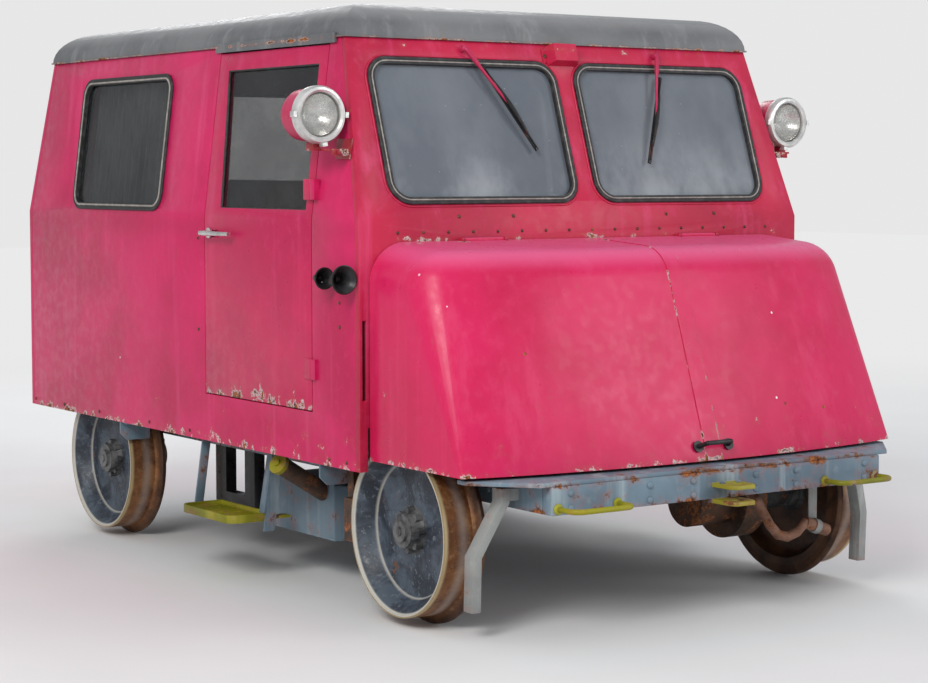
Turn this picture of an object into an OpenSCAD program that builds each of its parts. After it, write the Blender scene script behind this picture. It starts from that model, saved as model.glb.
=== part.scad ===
// Enclosed motor rail trolley (four flanged wheels, sheet metal cab and bonnet).
// Millimetres. +Z up, front faces -Y, +X is the left-hand side of the vehicle.
// Origin: on the ground plane of the flange tips, in the middle of the vehicle.

/* [Running gear] */
// Clear width between the rail heads (standard gauge)
gauge = 1435; // [1435:1:1435]
// Wheel diameter at the outer edge of the tread
wheel_d = 500; // [490:2:510]
// Height of the wheel flange below the tread
flange_h = 28; // [26:1:30]
// Position of the front wheels along the vehicle
front_wheel_y = -1000; // [-1010:1:-990]
// Position of the rear wheels along the vehicle
rear_wheel_y = 988; // [980:1:1000]
// Radius of the stub axles
axle_r = 30; // [28:1:32]

/* [Frame] */
// Half length over the two buffer beams
beam_y = 1505; // [1500:1:1510]
// Half width of the frame over its side members
frame_x = 624; // [620:1:628]
// Underside of the frame
frame_z = 371; // [368:1:374]
// Height of the frame channels
frame_h = 80; // [78:1:82]
// Radius of the coupling pin hole in the jaws
pin_r = 15; // [12:1:18]

/* [Body] */
// Half width of the cab at and below the waist line
body_x = 852; // [850:1:856]
// Half width of the cab at the roof gutter
gutter_x = 782; // [778:1:786]
// Underside of the cab side walls
sill_z = 438; // [434:1:442]
// Height of the waist line
waist_z = 1170; // [1166:1:1174]
// Height of the roof gutter
gutter_z = 1716; // [1712:1:1720]
// Front wall position at the waist
front_y = -873; // [-875:1:-871]
// Front wall position at the gutter
front_top_y = -688; // [-692:1:-684]
// Rear wall position at the waist
rear_y = 1495; // [1490:1:1500]
// Rear wall position at the gutter
rear_top_y = 1407; // [1400:1:1412]
// Thickness of the cab walls, sheet and inner frame together
wall = 24; // [22:1:26]
// Rise of the roof above the gutter
roof_rise = 108; // [100:1:114]

/* [Doors and windows] */
// Front edge of the door openings
door_y0 = -602; // [-604:1:-600]
// Rear edge of the door openings
door_y1 = 87; // [84:1:90]
// Gap round the doors
door_gap = 4; // [3:0.5:5]
// Width of a windscreen over its rubber seal
screen_w = 700; // [690:2:704]
// Height of a windscreen over its rubber seal, measured on the slope
screen_h = 464; // [456:2:468]

/* [Bonnet] */
// Half width of the bonnet
hood_x = 821; // [818:1:824]
// Height of the bonnet at the cab
hood_z = 1110; // [1104:1:1114]
// Underside of the bonnet
hood_z0 = 472; // [470:1:476]
// Forward bow of the bonnet in its middle
hood_bow = 85; // [60:5:95]
// Thickness of the bonnet panel
hood_t = 4; // [3:1:5]

/* [Hidden] */
$fn = 48;

wr = wheel_d / 2;                 // tread radius
wz = wr + flange_h;               // wheel centre height
slope_f = atan((front_top_y - front_y) / (gutter_z - waist_z));   // front wall lean
slope_r = atan((rear_y - rear_top_y) / (gutter_z - waist_z));     // rear wall lean
slope_s = atan((body_x - gutter_x) / (gutter_z - waist_z));       // side wall lean
sl = (gutter_z - waist_z);
pink = [0.80, 0.16, 0.38];
grey = [0.52, 0.57, 0.60];
blue = [0.45, 0.52, 0.60];
olive = [0.72, 0.72, 0.08];
rust = [0.45, 0.25, 0.13];
black = [0.10, 0.10, 0.11];

// ---- helpers ------------------------------------------------------------
// extrude a side view outline [y, z] from x0 to x1
module side_view(x0, x1) { translate([x0, 0, 0]) rotate([90, 0, 90]) linear_extrude(height = x1 - x0) children(); }
// extrude a front view outline [x, z] from y0 to y1
module front_view(y0, y1) { translate([0, y1, 0]) rotate([90, 0, 0]) linear_extrude(height = y1 - y0) children(); }
module both() { children(); mirror([1, 0, 0]) children(); }
module bar_x(x0, x1, y, z, r) { translate([x0, y, z]) rotate([0, 90, 0]) cylinder(h = x1 - x0, r = r); }
module bar_y(x, y0, y1, z, r) { translate([x, y1, z]) rotate([90, 0, 0]) cylinder(h = y1 - y0, r = r); }
module block(x0, x1, y0, y1, z0, z1) { translate([x0, y0, z0]) cube([x1 - x0, y1 - y0, z1 - z0]); }
module rrect(w, h, r) {
  square([w - 2 * r, h], center = true);
  square([w, h - 2 * r], center = true);
  for (i = [-1, 1], j = [-1, 1]) translate([i * (w / 2 - r), j * (h / 2 - r)]) circle(r = r);
}
// round bar along a list of points
module rod(p, r) { for (i = [0 : len(p) - 2]) { rod1(p[i], p[i + 1], r); if (i < len(p) - 2) translate(p[i + 1]) sphere(r = r + 0.5); } }
module rod1(a, b, r) {
  d = b - a; l = norm(d);
  translate(a) rotate([0, acos(d[2] / l), atan2(d[1], d[0])]) cylinder(h = l, r = r);
}
// local frame of the sloping front wall: x across, y up the slope, z outwards
module on_front() { translate([0, front_y, waist_z]) rotate([90 - slope_f, 0, 0]) children(); }
module on_rear() { mirror([0, 1, 0]) translate([0, -rear_y, waist_z]) rotate([90 - slope_r, 0, 0]) children(); }
// local frame of the sloping left wall: x rearwards, y up the slope, z outwards
module on_left() { translate([body_x, 0, waist_z]) rotate([0, -slope_s, 0]) rotate([90, 0, 90]) children(); }

// ---- cab shell ----------------------------------------------------------
// outer side view of the cab, shrunk by t at the sloping and upright ends
module cab_side_outline(t) {
  tf = t / cos(slope_f); tr = t / cos(slope_r);
  kf = t * (1 / cos(slope_f) - 1) / tan(slope_f); kr = t * (1 / cos(slope_r) - 1) / tan(slope_r);
  polygon([[front_y + t, sill_z - 1], [front_y + t, waist_z - kf], [front_top_y + tf, gutter_z],
           [rear_top_y - tr, gutter_z], [rear_y - t, waist_z - kr], [rear_y - t, sill_z - 1]]);
}
module wall_profile(t0, t1, z0) {
  a = t0 / cos(slope_s); b = t1 / cos(slope_s);
  ka = t0 * (1 / cos(slope_s) - 1) / tan(slope_s); kb = t1 * (1 / cos(slope_s) - 1) / tan(slope_s);
  polygon([[body_x - t0, z0], [body_x - t0, waist_z - ka], [gutter_x - a, gutter_z],
           [gutter_x - b, gutter_z], [body_x - t1, waist_z - kb], [body_x - t1, z0]]);
}
win_y = 753; win_v = 247; win_w = 706; win_h = 466; win_r = 62;   // rear side window over its seal
rwin_w = 1120; rwin_h = 420; rwin_v = 262;                        // back window over its seal
scr_x = 383; scr_v = 283; scr_r = 74;                             // windscreen centre and corner
module screen_outline(inset) { rrect(screen_w - 2 * inset, screen_h - 2 * inset, scr_r - inset); }
module door_window() { polygon([[-560, 1200], [-19, 1200], [21, 1641], [-549, 1641]]); }

module cab_wall_left() {
  difference() {
    intersection() {
      front_view(front_y - 5, rear_y + 5) wall_profile(0, wall, sill_z);
      side_view(0, 1000) cab_side_outline(wall);
    }
    // door opening
    side_view(600, 1000) translate([door_y0, 592]) square([door_y1 - door_y0, 1704 - 592]);
    // rear side window
    on_left() translate([win_y, win_v, -40]) linear_extrude(height = 60) rrect(win_w - 16, win_h - 16, win_r - 8);
  }
  // fixed hinge leaves in front of the door
  for (z = [1262, 722]) block(z > 1000 ? xs(z) : body_x, body_x + 9, door_y0 - 30, door_y0 - 4, z - 31, z + 31);
}
function xs(z) = z <= waist_z ? body_x : body_x - (body_x - gutter_x) * (z - waist_z) / sl;
module cab_side_left() { color(pink) cab_wall_left(); }
module cab_side_right() { color(pink) mirror([1, 0, 0]) cab_wall_left(); }

module front_outline() {
  polygon([[-body_x, sill_z], [-body_x, waist_z], [-gutter_x, gutter_z], [gutter_x, gutter_z], [body_x, waist_z], [body_x, sill_z]]);
}
module cab_front() color(pink) { front_wall(); bonnet_lugs(); }
module front_wall() difference() {
  intersection() {
    side_view(-1000, 1000) difference() { cab_side_outline(0); cab_side_outline(wall); translate([0, 0]) square([3000, 3000]); }
    front_view(-1000, 0) front_outline();
  }
  for (s = [-1, 1]) on_front() translate([s * scr_x, scr_v, -60]) linear_extrude(height = 90) screen_outline(8);
  // finger slot beside the bonnet
  for (s = [-1, 1]) block(s * 835 - 7, s * 835 + 7, front_y - 5, front_y + 14, 648, 882);
  // tunnel for the gearbox and clearance for the front wheels
  block(-140, 140, front_y - 5, front_y + wall + 5, 430, 575);
  for (s = [-1, 1]) block(s * 600 - 28, s * 600 + 28, front_y - 5, front_y + wall + 5, 430, frame_z + frame_h + 0.5);
  for (s = [-1, 1]) block(s * 740 - 84, s * 740 + 84, front_y - 5, front_y + wall + 5, 430, 568);
}
module bonnet_lugs() for (s = [-1, 1], k = [-1, 1]) block(s * 420 + k * 78 - 6, s * 420 + k * 78 + 6, -891, front_y + 1, hood_z - 5, hood_z + 9);
module cab_rear() color(pink) difference() {
  intersection() {
    side_view(-1000, 1000) difference() { cab_side_outline(0); cab_side_outline(wall); translate([-3000, 0]) square([3500, 3000]); }
    front_view(1000, 2000) front_outline();
  }
  on_rear() translate([0, rwin_v, -60]) linear_extrude(height = 90) rrect(rwin_w - 16, rwin_h - 16, 62);
  // clearance over the rear buffer beam
  block(-frame_x - 2, frame_x + 2, rear_y - wall - 5, rear_y + 5, 430, frame_z + frame_h + 0.5);
}

// roof: two crossed arched profiles meet in mitred corners
re = 130;      // horizontal reach of the rounded edge
function arch(hw, t) = concat(
  [for (a = [0 : 10 : 90]) [hw - t - (re - t) * (1 - cos(a)), gutter_z + (roof_rise - t) * sin(a)]],
  [[hw * 0.4, gutter_z + roof_rise - t + 6], [-hw * 0.4, gutter_z + roof_rise - t + 6]],
  [for (a = [90 : -10 : 0]) [-(hw - t - (re - t) * (1 - cos(a))), gutter_z + (roof_rise - t) * sin(a)]]);
module roof_form(t) {
  ym = (front_top_y + rear_top_y) / 2; yh = (rear_top_y - front_top_y) / 2;
  intersection() {
    front_view(front_top_y - 20, rear_top_y + 20) polygon(arch(gutter_x + 4, t));
    side_view(-900, 900) translate([ym, 0]) polygon(arch(yh + 4, t));
  }
}
module roof() color(grey) {
  difference() { roof_form(0); translate([0, 0, -0.01]) roof_form(14); }
  // gutter lip under the roof edge
  difference() {
    block(-gutter_x - 8, gutter_x + 8, front_top_y - 8, rear_top_y + 8, gutter_z, gutter_z + 5);
    block(-gutter_x + 10, gutter_x - 10, front_top_y + 10, rear_top_y - 10, gutter_z - 1, gutter_z + 6);
  }
  // rain strips over the doors
  both() block(gutter_x + 4, gutter_x + 11, door_y0 - 40, door_y1 + 20, gutter_z - 16, gutter_z + 14);
}

// rubber seal round an opening, outer size w x h, lip outside, body inside the wall
module seal(w, h, r) {
  difference() {
    union() {
      linear_extrude(height = 6) rrect(w, h, r);
      translate([0, 0, -wall - 3]) linear_extrude(height = wall + 4) rrect(w - 16.4, h - 16.4, r - 8.2);
    }
    translate([0, 0, -60]) linear_extrude(height = 90) rrect(w - 44, h - 44, r - 22);
    translate([0, 0, -12.5]) linear_extrude(height = 5) rrect(w - 32, h - 32, r - 16);
  }
}
module pane(w, h, r) { translate([0, 0, -12.5]) linear_extrude(height = 5) rrect(w - 32, h - 32, r - 16); }
module window_seals() color(black) {
  for (s = [-1, 1]) on_front() translate([s * scr_x, scr_v, 0]) seal(screen_w, screen_h, scr_r);
  both() on_left() translate([win_y, win_v, 0]) seal(win_w, win_h, win_r);
  on_rear() translate([0, rwin_v, 0]) seal(rwin_w, rwin_h, 70);
}
module window_glass() color([0.6, 0.7, 0.75, 0.6]) {
  for (s = [-1, 1]) on_front() translate([s * scr_x, scr_v, 0]) pane(screen_w, screen_h, scr_r);
  both() on_left() translate([win_y, win_v, 0]) pane(win_w, win_h, win_r);
  on_rear() translate([0, rwin_v, 0]) pane(rwin_w, rwin_h, 70);
}

// ---- doors --------------------------------------------------------------
dh_x = body_x + 5; dh_y = door_y0 + 2;     // door hinge axis
module door_leaf() {
  difference() {
    intersection() {
      front_view(door_y0 + door_gap, door_y1 - door_gap) wall_profile(0.5, wall, 592 + door_gap);
      side_view(0, 1000) translate([-1000, 590]) square([2000, 1696 - 590]);
    }
    side_view(600, 1000) door_window();
    // pocket behind the handle
    block(body_x - 14, body_x + 5, -10, 64, 1104, 1128);
    // handle spindle hole
    bar_x(body_x - 30, body_x + 5, 47, 1118, 6);
  }
  // moving hinge leaves and knuckles
  for (z = [1262, 722]) {
    block(z > 1000 ? xs(z) - 1 : body_x - 1, body_x + 5, door_y0 + 5, door_y0 + 40, z - 31, z + 31);
    translate([dh_x, dh_y, z - 31]) cylinder(h = 62, r = 3.6);
    block(body_x + 1.5, body_x + 5, dh_y, door_y0 + 6, z - 31, z + 31);
  }
}
module door_left() color(pink) door_leaf();
module door_right() color(pink) mirror([1, 0, 0]) door_leaf();
module door_pane() {
  intersection() {
    front_view(-700, 200) wall_profile(11, 16, 1000);
    side_view(0, 1000) door_window();
  }
}
module door_glass_left() color([0.5, 0.6, 0.65, 0.6]) door_pane();
module door_glass_right() color([0.5, 0.6, 0.65, 0.6]) mirror([1, 0, 0]) door_pane();
module door_lever() {
  bar_x(body_x - 22, body_x + 38, 47, 1118, 5.5);
  bar_x(body_x + 1, body_x + 7, 47, 1118, 17);
  translate([body_x + 30, 55, 1118]) rotate([90, 0, 0]) { cylinder(h = 190, r1 = 9, r2 = 7); }
}
module door_handle_left() color("silver") door_lever();
module door_handle_right() color("silver") mirror([1, 0, 0]) door_lever();

// ---- bonnet -------------------------------------------------------------
function bow(x) = hood_bow * (1 - pow(abs(x) / hood_x, 2.2));
hr = 125;
module hood_form(t, z0, y1) {
  hull() {
    for (s = [-1, 1]) {
      bar_y(s * (hood_x - hr), -880, y1, hood_z - hr, hr - t, $fn = 40);
      translate([s * (hood_x - hr), -1058, 968]) sphere(r = hr - t, $fn = 40);
      translate([s * (hood_x - hr + 0), -1058, 968]) sphere(r = hr - t, $fn = 40);
      for (x = [150, 360, 560]) translate([s * x, -1058 - bow(x) + 4, 968]) rotate([0, 90, 0]) cylinder(h = 1, r = hr - t, $fn = 40);
      // lower edge of the side and front
      translate([s * (hood_x - 5), y1 - 5, z0]) cylinder(h = 1, r = max(5 - t, 1), $fn = 16);
      translate([s * (hood_x - 14), -1342 + (z0 - hood_z0) * 0.33, z0]) cylinder(h = 1, r = 14 - t, $fn = 24);
      for (x = [150, 360, 560, 700]) translate([s * x, -1342 - bow(x) + (z0 - hood_z0) * 0.33, z0]) cylinder(h = 1, r = 14 - t, $fn = 24);
    }
  }
}
module hood() color(pink) {
  difference() {
    hood_form(0, hood_z0, -876);
    hood_form(hood_t, hood_z0 - 30, -800);
    // notches for the hinge lugs of the cab
    for (s = [-1, 1], k = [-1, 1]) block(s * 420 + k * 78 - 7, s * 420 + k * 78 + 7, -902, -870, hood_z - 12, hood_z + 20);
  }
  // centre strip
  intersection() {
    difference() { translate([0, 0, 2]) translate([0, -2, 0]) hood_form(0, hood_z0 + 30, -876); hood_form(0.5, hood_z0 - 30, -800); }
    block(-9, 49, -1500, -940, 520, 1200);
  }
  // hinge barrel at the cab
  for (s = [-1, 1]) bar_x(s * 420 - 70, s * 420 + 70, -884, hood_z + 2, 6);
}
module hood_handle() color(black) translate([20, -1427.6, 514]) rotate([-18.6, 0, 0]) {
  for (s = [-1, 1]) {
    translate([s * 58, 0, 0]) rotate([90, 0, 0]) cylinder(h = 6, r = 17);
    rod1([s * 58, -4, 0], [s * 44, -32, 3], 7);
    translate([s * 44, -32, 3]) sphere(r = 7.6);
  }
  rod1([-44, -32, 3], [44, -32, 3], 7);
}

// ---- wipers and motor cover --------------------------------------------
// pivot at the top of the screen, arm swung by a degrees from straight down
wip_v = 546 / cos(slope_f) - 31;
module wiper(x, a, b) {
  on_front() translate([x, wip_v, 0]) rotate([0, 0, a]) {
    translate([0, 0, 0.5]) cylinder(h = 22, r = 8);
    translate([0, 0, 18]) rod1([0, 12, 4], [0, -228, 2], 4);
    translate([0, -228, 14]) rotate([0, 0, b]) {
      block(-4, 4, -160, 160, 5, 12);
      block(-1.5, 1.5, -160, 160, -7, 6);
    }
  }
}
module wiper_right() color(black) wiper(-374, 34.8, -6.3);
module wiper_left() color(black) wiper(382, -14.4, -7.6);
module wiper_motor_cover() color(pink) on_front() translate([0, 534, 0.3]) difference() {
  union() {
    hull() { block(-56, 56, -30, 32, 0, 1); block(-44, 44, -24, 32, 34, 36); }
    block(-70, 70, -22, 22, 0, 4);
  }
  for (s = [-1, 1]) translate([s * 63, 0, -1]) cylinder(h = 8, r = 4);
}

// ---- lamps and horns ----------------------------------------------------
lx = 916; ly = -765; lz = 1481; lr = 80;
module drum() translate([lx, ly, lz]) rotate([-90, 0, 0]) rotate_extrude()
  polygon([[0, 130], [46, 128], [66, 118], [76, 96], [78, 60], [78, 14], [74, 14], [74, 60], [72, 94], [63, 114], [45, 124], [0, 126]]);
module ring() {
  translate([lx, ly, lz]) rotate([-90, 0, 0]) rotate_extrude()
    polygon([[66, -4], [72, -8], [80, -6], [85, 2], [85, 22], [78.5, 22], [78.5, 12], [66, 12], [64, 4]]);
  // clamps
  for (a = [0, 180, 98]) translate([lx, ly, lz]) rotate([0, a, 0]) block(82, 93, -6, 16, -8, 8);
}
module lens() translate([lx, ly, lz]) rotate([-90, 0, 0]) rotate_extrude()
  polygon([[0, -10], [20, -9], [40, -5.5], [55, -0.5], [63.5, 4.2], [65.6, 12.2], [71.5, 12.2], [71.5, 14], [64, 14], [54, 2.5], [38, -2], [18, -5.5], [0, -6.5]]);
module headlamp_drums() color(pink) both() drum();
module headlamp_rings() color([0.85, 0.85, 0.83]) both() ring();
module headlamp_lenses() color([0.8, 0.85, 0.85]) both() lens();
module lamp_bracket() {
  // flange plate against the side wall, shelf and lug under the drum
  block(xs(1360) + 0.6, 892, -790, -784, 1362, 1382);
  block(xs(1374) + 3, 904, -786, -712, 1376, 1382);
  block(lx - 16, lx + 12, -741, -700, 1376, 1402.6);
  for (x = [846, 872]) bar_y(x, -796, -789, 1372, 7);
  // wall plate following the slope
  intersection() {
    front_view(-800, -700) wall_profile(-6, -0.5, 1000);
    side_view(0, 1000) translate([-794, 1352]) square([84, 60]);
  }
}
module headlamp_brackets() color([0.6, 0.08, 0.1]) both() lamp_bracket();
module horn(y, r, l) translate([-900, y, 1003]) {
  rotate([-90, 0, 0]) rotate_extrude() polygon([[r - 3, -1], [r, 0], [r, 3], [r * 0.72, l * 0.22], [r * 0.45, l * 0.5], [r * 0.3, l], [0, l],
    [0, l - 6], [r * 0.22, l - 8], [r * 0.38, l * 0.5], [r * 0.64, l * 0.2]]);
  translate([0, l - 8, 0]) rotate([0, 90, 0]) cylinder(h = 900 - body_x - 0.3, r = r * 0.3);
}
module horns() color(black) { horn(-868, 43, 66); horn(-757, 33, 52); }

// ---- frame --------------------------------------------------------------
module channel_y(x, y0, y1) {   // channel along Y, web at x, flanges towards the middle
  difference() {
    block(x - 45, x, y0, y1, frame_z, frame_z + frame_h);
    block(x - 46, x - 7, y0 - 1, y1 + 1, frame_z + 8, frame_z + frame_h - 8);
  }
}
module side_members() color(blue) both() {
  channel_y(frame_x, -beam_y + 46, beam_y - 46);
  // outrigger gussets to the cab sill
  for (y = [-635]) front_view(y - 4, y + 4) polygon([[frame_x, frame_z + 1], [822, frame_z + 1], [848, 397], [848, 438], [frame_x, 438]]);
  front_view(-640, -548) polygon([[frame_x, 430], [832, 430], [832, 438], [frame_x, 438]]);
}
module beam_channel(s) {
  difference() {
    block(-frame_x, frame_x, s > 0 ? beam_y - 45 : -beam_y, s > 0 ? beam_y : -beam_y + 45, frame_z, frame_z + frame_h);
    block(-frame_x - 1, frame_x + 1, s > 0 ? beam_y - 46 : -beam_y + 7, s > 0 ? beam_y - 7 : -beam_y + 46, frame_z + 8, frame_z + frame_h - 8);
  }
  // end plates
  for (k = [-1, 1]) block(k > 0 ? frame_x - 6 : -frame_x, k > 0 ? frame_x : -frame_x + 6, s > 0 ? beam_y - 45 : -beam_y, s > 0 ? beam_y : -beam_y + 45, frame_z, frame_z + frame_h);
}
module jaws(s) difference() {
  for (z = [[359, 371], [406, 418]]) mirror([0, s > 0 ? 1 : 0, 0]) {
    block(-48, 48, -beam_y - 60, z[0] < 400 ? -beam_y + 40 : -beam_y, z[0], z[1]);
    translate([0, -beam_y - 60, z[0]]) intersection() { cylinder(h = 12, r = 48); block(-48, 48, -35, 1, 0, 12); }
  }
  translate([0, s * (beam_y + 60), 350]) cylinder(h = 80, r = pin_r);
}
module buffer_beam_front() color(blue) { beam_channel(-1); jaws(-1); }
module buffer_beam_rear() color(blue) { beam_channel(1); jaws(1); }
module cross_members() color(blue) {
  for (y = [-700, 640, 1120]) block(-frame_x + 8, frame_x - 8, y - 25, y + 25, frame_z + 9, frame_z + frame_h - 9);
  // outriggers carrying the cab sill and the foot steps
  both() for (y = [-195, 165, 1340]) block(frame_x + 0.2, body_x - wall - 1, y - 22, y + 22, 440, 470);
  both() for (y = [-195, 165, 1340]) block(frame_x + 0.2, frame_x + 14, y - 22, y + 22, 385, 441);
  // sill bracket ahead of each rear wheel
  both() front_view(731, 739) polygon([[735, 372], [824, 372], [850, 397], [850, 438], [735, 438]]);
  both() block(735, 840, 700, 739, 430, 438);
}
module front_apron() color(blue) {
  translate([0, 0, 451.2]) difference() {
    linear_extrude(height = 12) polygon([[-800, -1345], [-661, -1500], [661, -1500], [800, -1345], [800, -880], [-800, -880]]);
    for (s = [-1, 1]) translate([s > 0 ? 660 : -812, -1300, -1]) cube([152, 425, 14]);
    block(-572, 572, -1260, -870, -1, 14);
  }
}
module floor_plate() color([0.25, 0.25, 0.26]) {
  difference() {
    block(-body_x + wall + 1, body_x - wall - 1, front_y + wall + 1, rear_y - wall - 1, 570, 582);
    block(-40, 40, -600, -500, 560, 600);
  }
  // cheeks of the hand brake and the pedal
  for (x = [322, 380.3]) block(x, x + 7.7, -502, -458, 581, 645);
  for (x = [-428, -339.7]) block(x, x + 7.7, -752, -728, 581, 652);
  // sill angles and wheel arch boxes under the floor
  both() block(body_x - wall - 30, body_x - wall - 1, -735, door_y0 - 20, 442, 570);
  both() block(body_x - wall - 30, body_x - wall - 1, -590, 650, 471, 570);
  both() block(frame_x - 40, frame_x - 4, front_y + wall + 30, rear_y - wall - 20, frame_z + frame_h + 0.2, 570);
}

module handle_bar(x, s) mirror([0, s > 0 ? 1 : 0, 0]) {
  z = 389;
  for (k = [-1, 1]) {
    bar_y(x + k * 104, -beam_y - 4, -beam_y, z, 15);
    bar_y(x + k * 104, -beam_y - 88, -beam_y - 3, z, 8);
  }
  bar_x(x - 104, x + 104, -beam_y - 80, z, 7.6);
}
module lifting_handles() color(olive) for (x = [-500, 500], s = [-1, 1]) handle_bar(x, s);
module guard() {
  p = [[676, -1335, 432], [676, -1335, 395], [744, -1298, 240], [744, -1292, 86]];
  for (i = [0 : 2]) hull() { for (k = [0, 1]) translate(p[i + k]) cube([28, 44, 4], center = true); }
  block(frame_x + 0.3, 680, -1352, -1318, 398, 432);
}
module rail_guards() color([0.5, 0.53, 0.53]) both() guard();

// ---- wheels -------------------------------------------------------------
gx = gauge / 2;         // inner face of the rail head
wx = 808;               // outer face of the wheels
module wheel_disc() rotate([0, 90, 0]) rotate_extrude($fn = 96) polygon([
  [axle_r + 0.02, 692], [axle_r + 0.02, 786], [50, 786], [56, 760], [62, 750], [190, 744], [200, 748], [208, 760], [214, 772], [232, 797], [241, 803], [243, wx], [wr, wx],
  [wr + 2.4, 714], [wr + 6, 709], [wr + 16, 704], [wr + 24, 701], [wz, 696], [wz, 690], [wz - 3, 684], [wz - 8, 680],
  [222, 680], [214, 704], [204, 716], [194, 722], [66, 728], [56, 722], [52, 692]]);
module hub_parts(inner) {
  // stub axle with collar and end cap
  bar_x(inner, 789, 0, 0, axle_r);
  bar_x(789, 799, 0, 0, 31);
  bar_x(799, 803, 0, 0, 13);
  // clamp plate with nuts
  difference() { bar_x(786.5, 789, 0, 0, 50); bar_x(780, 795, 0, 0, axle_r + 0.02); }
  for (a = [0 : 45 : 315]) rotate([a, 0, 0]) translate([751, 0, 57]) rotate([0, 90, 0]) cylinder(h = 22, r = 12, $fn = 6);
}
module wheel_unit(y, inner) translate([0, y, wz]) { wheel_disc(); hub_parts(inner); }
module sprocket(z) rotate([0, 90, 0]) difference() {
  linear_extrude(height = 8) union() { circle(r = z * 3.0); for (i = [0 : z - 1]) rotate([0, 0, i * 360 / z]) translate([z * 3.0, 0]) circle(r = 4, $fn = 16); }
  translate([0, 0, -1]) cylinder(h = 10, r = axle_r + 0.02);
}
module wheel_front_left() color([0.25, 0.28, 0.33]) { wheel_unit(front_wheel_y, 432); translate([452, front_wheel_y, wz]) sprocket(30); }
module wheel_front_right() color([0.25, 0.28, 0.33]) mirror([1, 0, 0]) wheel_unit(front_wheel_y, 562);
module wheel_rear_left() color([0.25, 0.28, 0.33]) wheel_unit(rear_wheel_y, 562);
module wheel_rear_right() color([0.25, 0.28, 0.33]) mirror([1, 0, 0]) wheel_unit(rear_wheel_y, 562);

bush_r = axle_r + 10;
module pedestal(y) difference() {
  union() {
    bar_x(568, 664, y, wz, 56);
    block(574, 640, y - 48, y + 48, wz, 338);
  }
  bar_x(560, 670, y, wz, bush_r);
}
module axle_pedestals() color([0.3, 0.32, 0.34]) both() for (y = [front_wheel_y, rear_wheel_y]) pedestal(y);
module bush(y) difference() { bar_x(566, 666, y, wz, bush_r); bar_x(560, 670, y, wz, axle_r + 0.05); }
module bearing_bushes() color([0.7, 0.55, 0.25]) both() for (y = [front_wheel_y, rear_wheel_y]) bush(y);
module rubber_springs() color(black) both() for (y = [front_wheel_y, rear_wheel_y]) block(580, 622, y - 44, y + 44, 338, frame_z);

// ---- brake --------------------------------------------------------------
bp_y = -690; bp_z = 424;     // shoe hanger pivot
module shoe_unit() {
  // cast shoe hollowed to the tread, hanger arm, pivot eye
  difference() {
    block(722, 798, -760, -694, 210, 340);
    // face set back towards the flange
    translate([700, front_wheel_y, wz]) rotate([0, 90, 0]) cylinder(h = 120, r1 = wr + 35.2, r2 = wr + 6.8);
  }
  difference() {
    block(744, 776, -712, -680, 300, bp_z + 12);
    bar_x(740, 780, bp_y, bp_z, 8.06);
  }
}
module brake_shoe_left() color(rust) shoe_unit();
module brake_shoe_right() color(rust) mirror([1, 0, 0]) shoe_unit();
module brake_hanger_frame() color([0.2, 0.2, 0.2]) {
  // hanging U frame on the right-hand side member
  difference() {
    block(-622, -582, 178, 452, 178, frame_z);
    block(-630, -570, 245, 378, 216, frame_z + 1);
  }
  // pivot pins of the brake shoe hangers
  both() { bar_x(frame_x + 0.2, 780, bp_y, bp_z, 8); block(frame_x + 0.2, 700, bp_y - 14, bp_y + 14, bp_z - 14, bp_z + 3); }
}

// ---- fuel tank, steps, exhaust -----------------------------------------
module fuel_tank() color(blue) {
  difference() {
    block(-620, -350, -345, 76, 140, 314);
    block(-616, -354, -341, 72, 144, 310);
  }
  // straps up to the frame
  for (y = [-343, 20]) block(-622.5, -620, y, y + 30, 150, frame_z);
  for (y = [-343, 20]) block(-622.5, -590, y, y + 30, 314, 318);
}
fa = [-802, -318, 397]; fb = [-616, -269, 289];
module filler_neck() color([0.3, 0.32, 0.35]) difference() {
  rod1(fa, fb, 29);
  block(-620.3, -500, -400, -200, 200, 340);
}
module filler_cap() color(olive) { d = fa - fb; u = d / norm(d); rod1(fa + 0.2 * u, fa + 15 * u, 34); rod1(fa + 15 * u, fa + 22 * u, 10); }
module foot_step() difference() {
  union() {
    difference() {
      linear_extrude(height = 26) polygon([[757, -184], [880, -184], [900, -176], [910, -160], [912, -140], [912, 115], [908, 140], [896, 154], [880, 160], [757, 160]]);
      translate([0, 0, 16]) linear_extrude(height = 20) polygon([[765, -176], [878, -176], [895, -168], [903, -150], [903, 120], [894, 146], [878, 152], [765, 152]]);
    }
    // tread ribs
    for (y = [-150 : 30 : 130]) translate([790, y, 15]) cube([90, 6, 5]);
    // mounting tongue
    translate([690, -183.5, 4]) cube([68, 40, 8]);
  }
}
module foot_steps() color(olive) both() translate([0, 0, 200]) foot_step();
module hanger_bar(x0, x1, y, z0, w) {
  hull() { translate([x0 - w / 2, y, 438]) cube([w, 8, 2]); translate([x1 - w / 2, y, z0]) cube([w, 8, 2]); }
}
module step_hangers() color([0.55, 0.6, 0.64]) both() {
  hanger_bar(808, 842, 160.5, 200, 30);
  hanger_bar(736, 774, -193, 168, 38);
  // return flange of the front hanger
  hull() { translate([751, -193, 438]) cube([6, 34, 2]); translate([787, -193, 226]) cube([6, 34, 2]); }
}
module exhaust_pipe() color(rust) {
  rod([[281, -1075, 379.6], [281, -1075, 358], [281, -1100, 348], [278, -1290, 346], [282, -1330, 318], [330, -1338, 238], [362, -1340, 206], [400, -1340, 196], [440, -1338, 206], [482, -1334, 236]], 15);
  rod1([478, -1334, 234], [574, -1330, 200], 19);
}
module exhaust_strap() color([0.45, 0.45, 0.45]) difference() {
  union() {
    block(502, 536, -1326, -1322, 228, 451);
    translate([524, -1332, 217.5]) rotate([0, 109.5, 0]) cylinder(h = 22, r = 23, center = true);
  }
  rod1([470, -1334.4, 236.8], [590, -1329.4, 194.3], 19.4);
}

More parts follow.
